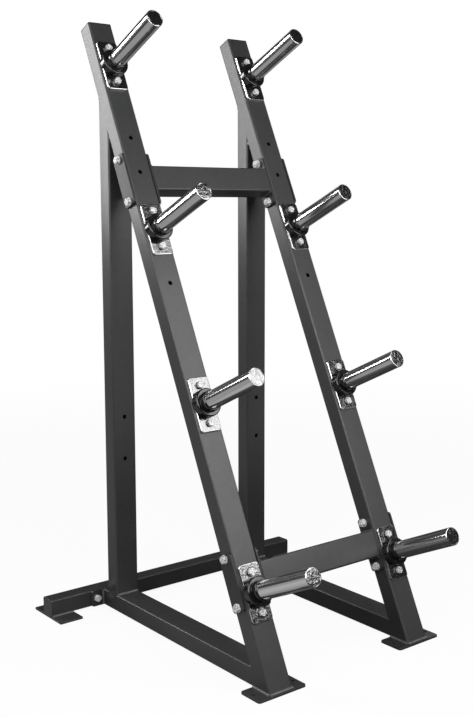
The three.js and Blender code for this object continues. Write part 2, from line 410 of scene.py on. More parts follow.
    def place(self, matrix: Matrix) -> Workpiece:
        """Moves the piece and bakes the move into its mesh.

        Args:
            matrix: where the piece's own frame goes.

        Returns:
            This workpiece.
        """
        self.obj.matrix_world = matrix
        self.activate()
        bpy.ops.object.transform_apply(location=True, rotation=True, scale=True)
        return self

    def smooth(self) -> Workpiece:
        """Shades curved parts smooth and keeps the large faces flat.

        Returns:
            This workpiece.
        """
        self.activate()
        bpy.ops.object.shade_smooth_by_angle(angle=SMOOTH_ANGLE)
        return self.modify("WEIGHTED_NORMAL", mode="FACE_AREA", keep_sharp=True)

    def fit(self, finish: Finish, slot: Slot, *nodes: str, spot: Matrix | None = None) -> Workpiece:
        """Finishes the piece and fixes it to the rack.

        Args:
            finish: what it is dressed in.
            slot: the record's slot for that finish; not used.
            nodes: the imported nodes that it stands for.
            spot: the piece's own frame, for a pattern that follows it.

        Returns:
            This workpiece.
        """
        material = finish.material(self.obj.name, spot or Matrix.Identity(4))
        self.obj.data.materials.clear()
        self.obj.data.materials.append(material)
        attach(self.obj, ROOT)
        if nodes:
            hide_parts(*nodes)
        log.info("%s: %d faces, for %s", self.obj.name, len(self.obj.data.polygons), nodes)
        return self


class Nodes:
    """A node tree, with short ways to add nodes and to feed them."""

    def __init__(self, tree: bpy.types.NodeTree) -> None:
        """Takes over a node tree."""
        self.tree = tree

    def node(self, kind: str, **inputs: object) -> bpy.types.Node:
        """Adds a node and sets or links its inputs.

        Args:
            kind: the node's type, without its common prefix.
            inputs: values or sockets, by input name with underscores for spaces.

        Returns:
            The node.
        """
        made = self.tree.nodes.new("ShaderNode" + kind)
        for name, value in inputs.items():
            self.feed(made.inputs[name.replace("_", " ")], value)
        return made

    def math(self, operation: str, *values: object, clamp: bool = False) -> bpy.types.NodeSocket:
        """Adds a sum or product of sockets and plain numbers.

        Args:
            operation: Blender's name for it.
            values: what goes into it.
            clamp: whether the result stays between 0 and 1.

        Returns:
            The result.
        """
        made = self.node("Math")
        made.operation, made.use_clamp = operation, clamp
        for target, value in zip(made.inputs, values):
            self.feed(target, value)
        return made.outputs[0]

    def feed(self, target: bpy.types.NodeSocket, value: object) -> None:
        """Links a socket to an input, or sets a plain value on it.

        Args:
            target: the input.
            value: a socket or a plain value.
        """
        if isinstance(value, bpy.types.NodeSocket):
            self.tree.links.new(value, target)
        else:
            target.default_value = value


class NodeSheet(Nodes):
    """A finish's node tree, with one method for each kind of pattern that the finishes use."""

    def __init__(self, name: str, spot: Matrix) -> None:
        """Starts a material on object coordinates.

        Args:
            name: the material's name.
            spot: the frame that patterns are measured in.
        """
        self.material = bpy.data.materials.new(name)
        self.material.use_nodes = True
        super().__init__(self.material.node_tree)
        self.shader = self.tree.nodes["Principled BSDF"]
        mapping = self.node("Mapping", Vector=self.node("TexCoord").outputs["Object"])
        mapping.vector_type = "TEXTURE"
        mapping.inputs["Location"].default_value = spot.to_translation()
        mapping.inputs["Rotation"].default_value = spot.to_euler()
        self.place = mapping.outputs["Vector"]

    def dress(self, **inputs: object) -> bpy.types.Material:
        """Sets or links inputs of the shader.

        Args:
            inputs: values or sockets, by input name with underscores for spaces.

        Returns:
            The finished material.
        """
        for name, value in inputs.items():
            self.feed(self.shader.inputs[name.replace("_", " ")], value)
        return self.material

    def noise(self, scale: float, detail: float = 2, stretch: Triple = (1, 1, 1)) -> bpy.types.NodeSocket:
        """Noise between 0 and 1.

        Args:
            scale: how many blobs go into a metre.
            detail: how many finer layers it has.
            stretch: scale along each axis on top of that.

        Returns:
            The noise's value.
        """
        vector = self.node("Mapping", Vector=self.place, Scale=stretch).outputs[0]
        return self.node("TexNoise", Vector=vector, Scale=scale, Detail=detail).outputs["Fac"]

    def spread(self, value: bpy.types.NodeSocket, low: float, high: float) -> bpy.types.NodeSocket:
        """Maps noise to a range: its usual spread, 0.3 to 0.7, goes to low and high."""
        usual = {"From_Min": 0.3, "From_Max": 0.7}
        return self.node("MapRange", Value=value, **usual, To_Min=low, To_Max=high).outputs["Result"]

    def blend(self, share: bpy.types.NodeSocket, first: object, second: object) -> bpy.types.NodeSocket:
        """A colour between two others.

        Args:
            share: how much of the second colour it has.
            first: a plain colour or a socket.
            second: a plain colour or a socket.

        Returns:
            The colour.
        """
        made = self.node("Mix", Factor=share)
        made.data_type = "RGBA"
        colours = [i for i in made.inputs if i.type == "RGBA"]
        for target, colour in zip(colours, (first, second)):
            self.feed(target, (*colour, 1) if isinstance(colour, tuple) else colour)
        return next(o for o in made.outputs if o.type == "RGBA")

    def relief(self, *layers: tuple[bpy.types.NodeSocket, float, object]) -> bpy.types.NodeSocket:
        """Bump from several heights.

        Args:
            layers: each height from 0 to 1, with its depth and its strength from 0 to 1.

        Returns:
            The normal.
        """
        last: dict[str, bpy.types.NodeSocket] = {}
        for height, depth, strength in layers:
            bump = self.node("Bump", Height=height, Distance=depth, Strength=strength, **last)
            last = {"Normal": bump.outputs["Normal"]}
        return last["Normal"]


class Finish(Protocol):
    """What every finish offers."""

    def material(self, name: str, spot: Matrix) -> bpy.types.Material:
        """Makes the finish's material for one piece.

        Args:
            name: the piece's name.
            spot: the frame that patterns are measured in.

        Returns:
            The material.
        """
        ...


@dataclass(frozen=True)
class Paint:
    """Satin charcoal powder coat with a fine orange peel, clear and smoother at its surface."""

    dark: Triple = (0.0135, 0.0138, 0.0145)
    light: Triple = (0.0195, 0.0198, 0.0208)
    gloss_low: float = 0.52
    gloss_high: float = 0.60
    shine: float = 1.0
    coat: float = 0.6
    coat_gloss: float = 0.25
    peel: float = 0.035 * MM
    cloud_scale: float = 9
    patch_scale: float = 55
    peel_scale: float = 420

    def material(self, name: str, spot: Matrix) -> bpy.types.Material:
        """Makes the coat for one piece.

        Args:
            name: the piece's name.
            spot: the frame that patterns are measured in.

        Returns:
            The material.
        """
        sheet = NodeSheet(f"paint_{name}", spot)
        cloud, patches = sheet.noise(self.cloud_scale, 5), sheet.noise(self.patch_scale, 4)
        fine = sheet.noise(self.peel_scale, 3)
        return sheet.dress(
            Base_Color=sheet.blend(sheet.spread(cloud, 0, 1), self.dark, self.light),
            Roughness=sheet.spread(patches, self.gloss_low, self.gloss_high),
            Normal=sheet.relief((fine, self.peel, 1.0)),
            Specular_IOR_Level=self.shine,
            Coat_Weight=self.coat,
            Coat_Roughness=self.coat_gloss,
        )


@dataclass(frozen=True)
class Chrome:
    """Bright chrome on ground steel, with its flat faces darker and uneven.

    The flat face of a piece lies at the top of the piece's own Z. It has fine dimples over wider
    waves, and the rest has streaks along Z or across it.
    """

    flat_from: float
    streak_stretch: Triple
    dark: Triple = (0.88, 0.882, 0.89)
    light: Triple = (1.0, 1.0, 1.0)
    flat_dark: Triple = (0.18, 0.181, 0.184)
    flat_light: Triple = (0.34, 0.34, 0.342)
    metal: float = 0.98
    gloss_low: float = 0.04
    gloss_high: float = 0.09
    streak_scale: float = 300
    streak: float = 0.02 * MM
    dimple_scale: float = 190
    dimple: float = 0.5 * MM
    wave_scale: float = 70
    wave: float = 0.55 * MM
    flat_ease: float = 0.05 * MM

    def material(self, name: str, spot: Matrix) -> bpy.types.Material:
        """Makes the chrome for one piece.

        Args:
            name: the piece's name.
            spot: the frame that patterns are measured in.

        Returns:
            The material.
        """
        sheet = NodeSheet(f"chrome_{name}", spot)
        streaks = sheet.noise(self.streak_scale, 4, self.streak_stretch)
        dimples, waves = sheet.noise(self.dimple_scale, 3), sheet.noise(self.wave_scale, 1)
        height = sheet.node("SeparateXYZ", Vector=sheet.place).outputs["Z"]
        ends = {"From_Min": self.flat_from, "From_Max": self.flat_from + self.flat_ease}
        flat = sheet.node("MapRange", Value=height, **ends).outputs["Result"]
        ground = sheet.blend(sheet.spread(streaks, 0, 1), self.dark, self.light)
        mottled = sheet.blend(sheet.spread(dimples, 0, 1), self.flat_dark, self.flat_light)
        round_part = sheet.node("MapRange", Value=flat, To_Min=1.0, To_Max=0.0).outputs["Result"]
        layers = ((waves, self.wave, flat), (dimples, self.dimple, flat), (streaks, self.streak, round_part))
        return sheet.dress(
            Metallic=self.metal,
            Base_Color=sheet.blend(flat, ground, mottled),
            Roughness=sheet.spread(streaks, self.gloss_low, self.gloss_high),
            Normal=sheet.relief(*layers),
        )


@dataclass(frozen=True)
class Rubber:
    """Black moulded rubber with a soft shine."""

    dark: Triple = (0.006, 0.006, 0.007)
    light: Triple = (0.014, 0.014, 0.015)
    gloss_low: float = 0.10
    gloss_high: float = 0.18
    shine: float = 0.9
    grain: float = 0.03 * MM
    cloud_scale: float = 60
    patch_scale: float = 140
    grain_scale: float = 700

    def material(self, name: str, spot: Matrix) -> bpy.types.Material:
        """Makes the rubber for one piece.

        Args:
            name: the piece's name.
            spot: the frame that patterns are measured in.

        Returns:
            The material.
        """
        sheet = NodeSheet(f"rubber_{name}", spot)
        cloud, patches = sheet.noise(self.cloud_scale, 5), sheet.noise(self.patch_scale, 4)
        fine = sheet.noise(self.grain_scale, 3)
        return sheet.dress(
            Base_Color=sheet.blend(sheet.spread(cloud, 0, 1), self.dark, self.light),
            Roughness=sheet.spread(patches, self.gloss_low, self.gloss_high),
            Normal=sheet.relief((fine, self.grain, 1.0)),
            Specular_IOR_Level=self.shine,
        )


@dataclass(frozen=True)
class Zinc:
    """Pale, dull zinc plate with a fine grain over small hollows, as on forged heads."""

    dark: Triple = (0.25, 0.25, 0.26)
    light: Triple = (0.95, 0.95, 0.96)
    speckle: tuple[float, float] = (-0.7, 2.6)
    metal: float = 0.12
    gloss_low: float = 0.25
    gloss_high: float = 0.4
    grain: float = 0.03 * MM
    hollow: float = 0.9 * MM
    speck_scale: float = 260
    hollow_scale: float = 240
    grain_scale: float = 900

    def material(self, name: str, spot: Matrix) -> bpy.types.Material:
        """Makes the plating for one piece.

        Args:
            name: the piece's name.
            spot: the frame that patterns are measured in.

        Returns:
            The material.
        """
        sheet = NodeSheet(f"zinc_{name}", spot)
        specks, patches = sheet.noise(self.speck_scale, 2), sheet.noise(self.speck_scale, 4)
        hollows, fine = sheet.noise(self.hollow_scale, 1), sheet.noise(self.grain_scale, 3)
        return sheet.dress(
            Metallic=self.metal,
            Base_Color=sheet.blend(sheet.spread(specks, *self.speckle), self.dark, self.light),
            Roughness=sheet.spread(patches, self.gloss_low, self.gloss_high),
            Normal=sheet.relief((hollows, self.hollow, 1.0), (fine, self.grain, 1.0)),
        )


PAINT = Paint()
# The beads wear the frame's coat made several times lighter. This is a painted highlight, standing in for
# the bright lines that light draws along the welded seams.
BEAD_PAINTED_HIGHLIGHT = Paint((0.065, 0.066, 0.067), (0.11, 0.111, 0.113), coat=1.0, coat_gloss=0.2)
JOINT_PAINT = Paint(
    (0.013, 0.0132, 0.0138), (0.019, 0.0193, 0.02), gloss_low=0.56, gloss_high=0.65, shine=0.7, coat=0.3
)
PLATE_CHROME = Chrome(6.27 * MM, (1, 1, 1), gloss_low=0.08, gloss_high=0.2, streak=0.0)
POST_CHROME = Chrome(239.5 * MM, (1, 1, 0.012), gloss_low=0.08, gloss_high=0.17)
WASHER_CHROME = Chrome(0.0, (1, 1, 1), gloss_low=0.2, gloss_high=0.3)
RUBBER = Rubber()
PLASTIC = Rubber(gloss_low=0.36, gloss_high=0.48)
ZINC = Zinc()


@dataclass(frozen=True)
class TubeStock:
    """Rectangular steel tube with rolled corners."""

    width: float = 76.2 * MM
    depth: float = 50.8 * MM
    wall: float = 3 * MM
    corner: float = 5 * MM
    steps: int = 6

    def length(self, name: str, start: float, end: float) -> Workpiece:
        """Cuts a length that stands along Z, centred on X with its front face on y = 0.

        Args:
            name: the piece's name.
            start: height of its low end.
            end: height of its high end.

        Returns:
            The open-ended tube.
        """
        size = (self.width, self.depth, end - start)
        piece = Workpiece.block(name, size, (0, self.depth / 2, (start + end) / 2))
        piece.pick_edges(lambda a, b: abs(a.z - b.z) > (end - start) / 2)
        piece.bevel(self.corner, self.steps)
        piece.pick_faces(lambda centre, normal: abs(normal.z) > ALONG)
        return piece.remove_faces().hollow(self.wall)


@dataclass(frozen=True)
class PlateStock:
    """Flat plate with round corners and softened edges, which lies on z = 0."""

    length: float
    width: float
    thickness: float
    corner: float
    edge: float
    hole: float = 0
    hole_spacing: float = 0
    corner_steps: int = 7
    edge_steps: int = 3
    hole_sides: int = 32

    def blank(self, name: str) -> Workpiece:
        """Makes the plate, with its two holes along X if it has any.

        Args:
            name: the piece's name.

        Returns:
            The plate.
        """
        top = self.thickness
        piece = Workpiece.block(name, (self.length, self.width, top), (0, 0, top / 2))
        piece.pick_edges(lambda a, b: abs(a.z - b.z) > top / 2)
        piece.bevel(self.corner, self.corner_steps)
        piece.pick_edges(lambda a, b: abs(a.z - b.z) < self.edge and min(a.z, b.z) > top / 2)
        piece.bevel(self.edge, self.edge_steps)
        if self.hole:
            spots = (-self.hole_spacing / 2, self.hole_spacing / 2)
            bit = (self.hole / 2, 3 * top, self.hole_sides)
            piece.drill([Workpiece.bar("drill", *bit, (x, 0, top / 2)) for x in spots])
        return piece


@dataclass(frozen=True)
class HexStock:
    """Hexagon bolts, nuts and washers.

    End_share is the width of the flat end over the hexagon's. Root_share and tip_share are how far
    the thread narrows at a groove and at its end.
    """

    across: float = 19 * MM
    head: float = 7.5 * MM
    nut: float = 10 * MM
    shank: float = 6 * MM
    pitch: float = 1.75 * MM
    washer: float = 12 * MM
    washer_thickness: float = 2.4 * MM
    play: float = 0.4 * MM
    overlap: float = 0.1 * MM
    soft_edge: float = 0.35 * MM
    end_share: float = 0.96
    root_share: float = 0.88
    tip_share: float = 0.86
    cone_sides: int = 64
    washer_sides: int = 40
    bore_sides: int = 32
    shank_sides: int = 24

    def hexagon(self, name: str, base: float, height: float, both: bool = False) -> Workpiece:
        """Makes a six-sided bar along Z with the usual 30 degree chamfer.

        Args:
            name: the piece's name.
            base: height of its low end.
            height: how tall it is.
            both: whether the low end is chamfered too.

        Returns:
            The hexagon.
        """
        corner = self.across / math.sqrt(3)
        middle = (0, 0, base + height / 2)
        piece = Workpiece.bar(name, corner, height, 6, middle)
        flat = self.end_share * self.across / 2
        wide = flat + height * math.sqrt(3)
        cones = [Workpiece.bar("cone", wide, height, self.cone_sides, middle, top_radius=flat)]
        if both:
            cones.append(Workpiece.bar("cone", flat, height, self.cone_sides, middle, top_radius=wide))
        return piece.combine("INTERSECT", cones)

    def disc(self, base: float) -> Workpiece:
        """Makes a washer without its bore.

        Args:
            base: height that it stands on.

        Returns:
            The disc.
        """
        thick = self.washer_thickness
        middle = (0, 0, base + thick / 2)
        piece = Workpiece.bar("washer", self.washer, thick, self.washer_sides, middle)
        piece.pick_edges(lambda a, b: abs(a.z - b.z) < self.soft_edge)
        return piece.bevel(self.soft_edge, 2)

    def washer_ring(self) -> Workpiece:
        """Makes a loose washer that lies on z = 0, with its bore.

        Returns:
            The washer.
        """
        ring = self.disc(0)
        radius, length = self.shank + self.play, 4 * self.washer_thickness
        return ring.drill([Workpiece.bar("bore", radius, length, self.bore_sides)])

    def thread(self, base: float, turns: int) -> Workpiece:
        """Makes the threaded end of a bolt, which starts at a height and goes down.

        Args:
            base: height where the thread starts.
            turns: how many ridges it has.

        Returns:
            The threaded end.
        """
        low, middle = base - self.pitch, (0, 0, base - self.pitch / 2)
        piece = Workpiece.bar("thread", self.shank, self.pitch, self.shank_sides, middle)
        piece.pick_faces(lambda centre, normal: normal.z < -ALONG)
        with piece.editing():
            for step in range(2 * turns):
                step_down = {"value": (0, 0, -self.pitch / 2)}
                bpy.ops.mesh.extrude_region_move(TRANSFORM_OT_translate=step_down)
                low -= self.pitch / 2
                share = self.root_share if step % 2 == 0 else 1 / self.root_share
                bpy.ops.transform.resize(value=(share, share, 1), center_override=(0, 0, low))
            tip = (self.tip_share, self.tip_share, 1)
            bpy.ops.transform.resize(value=tip, center_override=(0, 0, low))
        return piece

    def bolt(self, name: str, shank: float, washer: bool = True) -> Workpiece:
        """Makes a bolt with its head above z = 0 and its shank below.

        Args:
            name: the piece's name.
            shank: how far the shank goes down.
            washer: whether the bolt's washer, which lies on z = 0, is part of the piece.

        Returns:
            The bolt.
        """
        head = self.hexagon(name, self.washer_thickness - self.overlap, self.head)
        rod = shank + self.washer_thickness + self.head / 2
        middle = (0, 0, rod / 2 - shank)
        core = Workpiece.bar("shank", self.shank, rod, self.shank_sides, middle)
        return head.combine("UNION", [self.disc(0), core] if washer else [core])

    def through(self, name: str, grip: float) -> Workpiece:
        """Makes a bolt through a stack, with a washer and a nut on the far side.

        Args:
            name: the piece's name.
            grip: the thickness of the stack.

        Returns:
            The bolt.
        """
        far = -grip - self.washer_thickness
        end = far - self.nut
        bolt = self.bolt(name, grip + self.washer_thickness + self.nut / 2)
        nut = self.hexagon("nut", end, self.nut, both=True)
        thread = self.thread(end + self.pitch, 2)
        return bolt.combine("UNION", [self.disc(far), nut, thread])


@dataclass(frozen=True)
class WeldBead:
    """Painted fillet weld: a row of overlapping ripples along a seam.

    Neck is the bead's share of its radius between ripples, and swell lists the shares along one
    ripple. Inset is how far a bead stays clear of a rounded corner.
    """

    radius: float = 3.2 * MM
    pitch: float = 3.0 * MM
    sides: int = 16
    neck: float = 0.94
    swell: tuple[float, ...] = (0.985, 1.0, 0.98)
    merge: float = 0.01 * MM
    inset: float = 2 * MM

    def lay(self, start: Vector, end: Vector) -> Workpiece:
        """Lays one bead along a seam.

        Args:
            start: where the seam starts.
            end: where it ends.

        Returns:
            The bead, in place.
        """
        run = end - start
        count = max(2, round(run.length / self.pitch))
        pitch = run.length / count
        bead = Workpiece.bar("bead", self.neck * self.radius, pitch, self.sides, (0, 0, pitch / 2))
        bead.pick_faces(lambda centre, normal: abs(normal.z) > ALONG).remove_faces()
        bead.pick_edges(lambda a, b: abs(a.z - b.z) > pitch / 2)
        with bead.editing():
            bpy.ops.mesh.subdivide(number_cuts=len(self.swell))
        for number, share in enumerate(self.swell, 1):
            height = pitch * number / (len(self.swell) + 1)
            bead.pick_edges(lambda a, b: abs(a.z - height) + abs(b.z - height) < NEAR)
            with bead.editing():
                growth = share / self.neck
                bpy.ops.transform.resize(value=(growth, growth, 1), center_override=(0, 0, height))
        bead.modify(
            "ARRAY",
            count=count,
            use_relative_offset=False,
            use_constant_offset=True,
            constant_offset_displace=(0, 0, pitch),
            use_merge_vertices=True,
            merge_threshold=self.merge,
        )
        with bead.editing():
            bpy.ops.mesh.select_all(action="SELECT")
            bpy.ops.mesh.fill_holes(sides=0)
        turn = run.to_track_quat("Z", "Y").to_matrix().to_4x4()
        return bead.place(Matrix.Translation(start) @ turn)

    def follow(self, name: str, seams: Iterable[tuple[Vector, Vector]]) -> None:
        """Lays a bead on each seam and joins them into one painted piece, whose lighter coat is a painted
        highlight along the seams.

        Args:
            name: the piece's name.
            seams: the end points of each seam.
        """
        beads = [self.lay(start, end) for start, end in seams]
        beads[0].join(beads[1:])
        beads[0].obj.name = beads[0].obj.data.name = name
        beads[0].smooth().fit(BEAD_PAINTED_HIGHLIGHT, Slot.PAINT)


@dataclass(frozen=True)
class Slope:
    """The frame of a leaning tube: X across, Y into the tube from its front face, Z up the slope."""

    foot: Vector
    lean: float = 25

    @property
    def matrix(self) -> Matrix:
        """Brings the slope's own frame to the rack's."""
        return Matrix.Translation(self.foot) @ Matrix.Rotation(-math.radians(self.lean), 4, "X")

    def point(self, x: float, y: float, z: float) -> Vector:
        """A point of the slope in the rack's frame."""
        return self.matrix @ Vector((x, y, z))

    def outward(self, x: float, y: float, z: float) -> Matrix:
        """Frame at a point of the slope whose Z points out of the front face."""
        return self.matrix @ Matrix.Translation((x, y, z)) @ Matrix.Rotation(math.pi / 2, 4, "X")

    @property
    def rear(self) -> Vector:
        """Direction out of the tube's back."""
        return self.matrix.to_3x3() @ Vector((0, 1, 0))

    @property
    def level(self) -> Vector:
        """The rack's upward direction, as seen in the slope's frame."""
        return self.matrix.to_3x3().inverted() @ Vector((0, 0, 1))


@dataclass
class PostStation:
    """A chromed post on its bolted plate, with the rubber collar at its root."""

    plate: PlateStock = PlateStock(
        152.4 * MM, 66.7 * MM, 6.35 * MM, corner=9 * MM, edge=2.3 * MM, corner_steps=8, edge_steps=4
    )
    bolt_spacing: float = 105.7 * MM
    bolt_shank: float = 25 * MM
    bolt_turn: float = 37
    pair_turn: float = 20
    post_radius: float = 25 * MM
    reach: float = 246.5 * MM
    chamfer: float = 1.8 * MM
    wall: float = 3.2 * MM
    groove: float = 0.35 * MM
    collar_radius: float = 39.5 * MM
    collar_height: float = 21.5 * MM
    collar_edge: float = 4 * MM
    hub_radius: float = 29 * MM
    hub_height: float = 17 * MM
    hub_edge: float = 2.5 * MM
    sides: int = 96
    hex: HexStock = HexStock(across=18 * MM, washer=10.8 * MM)
    masters: dict[str, Workpiece] = field(default_factory=dict)

    @property
    def face(self) -> float:
        """Height of the post's root above the tube's front face."""
        return self.plate.thickness + 2 * SEAT

    def make_masters(self) -> None:
        """Models the plate, bolt, post and collar once, each standing on z = 0."""
        plate = self.plate.blank("plate_master")
        plate.place(Matrix.Rotation(math.pi / 2, 4, "Z"))
        self.masters = {
            "plate": plate.smooth(),
            "bolt": self.hex.bolt("bolt_master", self.bolt_shank, washer=False).smooth(),
            "washer": self.hex.washer_ring().smooth(),
            "post": self.post().smooth(),
            "collar": self.collar().smooth(),
        }

    def post(self) -> Workpiece:
        """Models a post with a chamfered, closed end.

        Returns:
            The post.
        """
        length = self.reach - self.face
        piece = Workpiece.bar("post_master", self.post_radius, length, self.sides, (0, 0, length / 2))
        piece.pick_edges(lambda a, b: min(a.z, b.z) > length - self.groove)
        piece.bevel(self.chamfer, 3)
        piece.pick_faces(lambda centre, normal: normal.z > ALONG and centre.z > length - self.groove)
        piece.inset(self.wall - self.chamfer)
        piece.inset(self.groove, -self.groove)
        return piece.inset(self.groove, self.groove)

    def collar(self) -> Workpiece:
        """Models a collar: a thick disc, a narrower hub and the bore round the post.

        Returns:
            The collar.
        """
        disc, top = self.collar_height, self.collar_height + self.hub_height
        bore = self.post_radius + SEAT
        piece = Workpiece.bar("collar_master", self.collar_radius, disc, self.sides, (0, 0, disc / 2))
        piece.pick_faces(lambda centre, normal: normal.z > ALONG)
        piece.inset(self.collar_radius - self.hub_radius)
        piece.extrude((0, 0, self.hub_height))
        piece.inset(self.hub_radius - bore)
        piece.extrude((0, 0, -self.hub_height))
        rims = (
            (self.collar_radius, disc, self.collar_edge, 6),
            (self.collar_radius, 0, self.groove, 2),
            (self.hub_radius, top, self.hub_edge, 5),
            (self.hub_radius, disc, 2 * self.groove, 2),
            (bore, top, 2 * self.groove, 3),
        )
        for radius, height, edge, steps in rims:
            spot = Vector((radius, height))
            piece.pick_edges(
                lambda a, b: all((Vector((p.xy.length, p.z)) - spot).length < NEAR for p in (a, b))
            )
            piece.bevel(edge, steps)
        return piece

    def build(self, side: Side, number: int, slope: Slope, height: float) -> None:
        """Puts one station on a leaning tube.

        Args:
            side: the side frame.
            number: the station's number, from the top.
            slope: the leaning tube's frame.
            height: how far up the slope it is.
        """
        tag = f"{side.word}_{number}"
        back = slope.outward(0, -SEAT, height)
        root = slope.outward(0, -self.face, height)
        plate = self.masters["plate"].copy(f"chromed_plate_{tag}").place(back)
        plate.fit(PLATE_CHROME, Slot.CHROME, f"post_plate_{tag}", spot=back)
        post = self.masters["post"].copy(f"chromed_post_{tag}").place(root)
        post.fit(POST_CHROME, Slot.CHROME, f"post_{tag}", spot=root)
        collar = self.masters["collar"].copy(f"rubber_collar_{tag}").place(root)
        collar.fit(RUBBER, Slot.RUBBER, f"collar_{tag}", spot=root)
        for word, way in (("low", -1), ("high", 1)):
            offset = way * self.bolt_spacing / 2
            spot = slope.outward(0, -SEAT - self.plate.thickness, height + offset)
            angle = math.radians(self.bolt_turn * number + self.pair_turn * way)
            turn = Matrix.Rotation(angle, 4, "Z")
            bolt = self.masters["bolt"].copy(f"plate_bolt_{tag}_{word}").place(spot @ turn)
            bolt.fit(ZINC, Slot.ZINC)
            washer = self.masters["washer"].copy(f"plate_washer_{tag}_{word}").place(spot)
            washer.fit(WASHER_CHROME, Slot.ZINC, spot=spot)


@dataclass
class MemberJoint:
    """Joint of a cross member with a leaning tube: two plates and two bolts right through."""

    plate: PlateStock = PlateStock(
        152.4 * MM, 50.8 * MM, 6.35 * MM, corner=9 * MM, edge=0.8 * MM, hole=13 * MM, hole_spacing=127 * MM
    )
    bolt_turns: tuple[float, float] = (12, 41)
    side_turn: float = 9
    hex: HexStock = HexStock()
    masters: dict[str, Workpiece] = field(default_factory=dict)

    def make_masters(self, tube: TubeStock) -> None:
        """Models the plate and the through bolt once.

        Args:
            tube: the leaning tube's stock.
        """
        plate = self.plate.blank("member_plate_master")
        plate.place(Matrix.Rotation(math.pi / 2, 4, "Z"))
        grip = tube.width + 2 * (self.plate.thickness + 2 * SEAT)
        self.masters = {
            "plate": plate.smooth(),
            "bolt": self.hex.through("member_bolt_master", grip).smooth(),
        }

    def build(self, side: Side, level: str, slope: Slope, height: float, tube: TubeStock) -> None:
        """Puts one joint on a leaning tube.

        Args:
            side: the side frame.
            level: upper or lower.
            slope: the leaning tube's frame.
            height: how far up the slope it is.
            tube: the leaning tube's stock.
        """
        for word, node, outward in (
            ("outer_plate", "backing_plate", side.value),
            ("inner_plate", "member_flange", -side.value),
        ):
            facing = self.facing(slope, outward, tube.width / 2 + SEAT, height, tube)
            plate = self.masters["plate"].copy(f"{word}_{level}_{side.word}").place(facing)
            plate.fit(JOINT_PAINT, Slot.PAINT, f"{node}_{level}_{side.word}")
        reach = tube.width / 2 + 2 * SEAT + self.plate.thickness
        for word, way, turn in zip(("low", "high"), (-1, 1), self.bolt_turns):
            offset = way * self.plate.hole_spacing / 2
            facing = self.facing(slope, side.value, reach, height + offset, tube)
            tag = f"{level}_{side.word}_{word}"
            spin = Matrix.Rotation(math.radians(turn + self.side_turn * side.value), 4, "Z")
            bolt = self.masters["bolt"].copy(f"through_bolt_{tag}").place(facing @ spin)
            bolt.fit(ZINC, Slot.ZINC, f"member_bolt_{tag}")

    @staticmethod
    def facing(slope: Slope, outward: int, reach: float, height: float, tube: TubeStock) -> Matrix:
        """Finds a frame beside a leaning tube, with its Z away from the tube and its Y up the slope.

        Args:
            slope: the leaning tube's frame.
            outward: -1 for its left side and 1 for its right.
            reach: how far the frame is from the tube's middle.
            height: how far up the slope it is.
            tube: the leaning tube's stock.

        Returns:
            The frame.
        """
        x_axis, y_axis, z_axis = Vector((0, outward, 0)), Vector((0, 0, 1)), Vector((outward, 0, 0))
        turn = Matrix((x_axis, y_axis, z_axis)).transposed().to_4x4()
        spot = Matrix.Translation((outward * reach, tube.depth / 2, height))
        return slope.matrix @ spot @ turn


